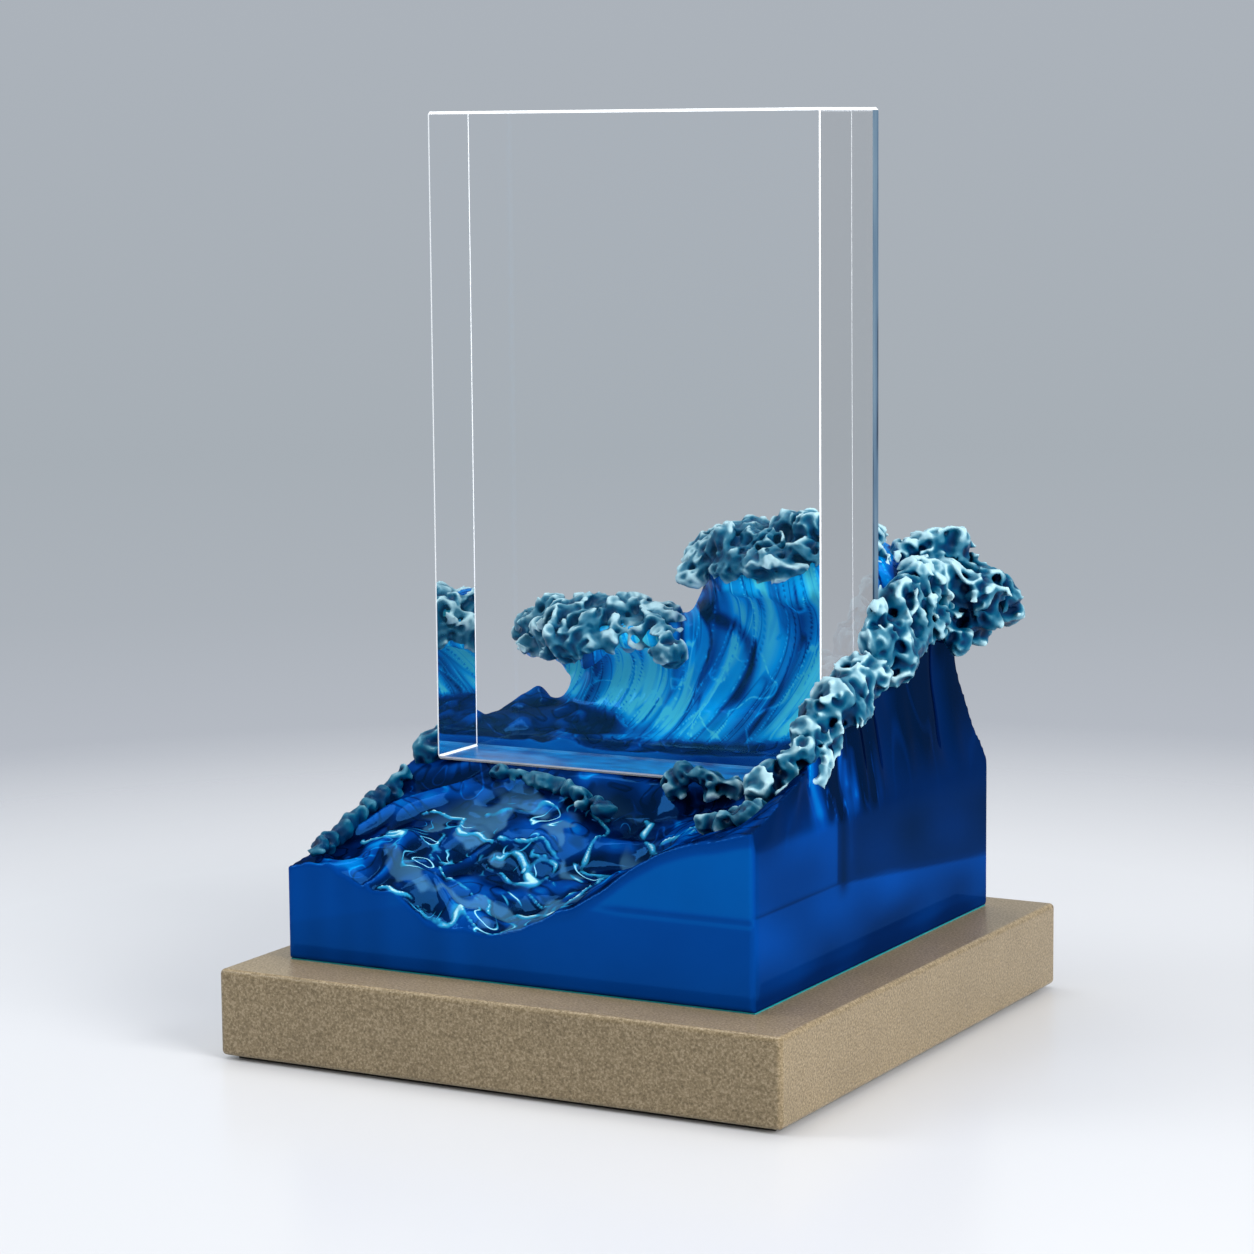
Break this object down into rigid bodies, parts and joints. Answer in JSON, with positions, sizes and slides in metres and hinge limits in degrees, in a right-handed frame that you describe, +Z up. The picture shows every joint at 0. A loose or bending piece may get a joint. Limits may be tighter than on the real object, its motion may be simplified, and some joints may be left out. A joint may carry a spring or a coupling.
{
  "type": "glass wave sculpture",
  "caption": "Clear upright glass plate standing in a blue cast-glass sea with curling waves and pale foam, on a rectangular stone plinth.",
  "frame": {"origin": "middle of the footprint on the surface that the sculpture stands on", "axes": "+X right along the front face, +Y away from the front, +Z up along the clear plate"},
  "size_m": [0.142, 0.15, 0.2129],
  "materials": {
    "felt": "thin dark pressed felt",
    "stone": "honed beige fine-grained stone with dark speckles",
    "adhesive": "clear bonding film",
    "blue_glass": "polished deep blue cast glass, transparent at thin places",
    "clear_glass": "polished clear optical glass with small chamfers",
    "pale_glass": "matt pale blue-grey frit glass, pitted and lumpy"
  },
  "bodies": {
    "root": {"felt_pad": "felt", "stone_base": "stone", "base_adhesive": "adhesive", "wave_body": "blue_glass", "slab_adhesive": "adhesive", "clear_slab": "clear_glass", "foam_crest_left": "pale_glass", "foam_crest_right": "pale_glass", "foam_peak_right": "pale_glass", "foam_apron_right": "pale_glass", "foam_ridge_upper": "pale_glass", "foam_ridge_lower": "pale_glass", "foam_patch_middle": "pale_glass", "foam_patch_front": "pale_glass", "foam_rope_left": "pale_glass", "foam_shoulder_left": "pale_glass", "foam_line_sea": "pale_glass", "foam_beads": "pale_glass"}
  },
  "joints": []
}
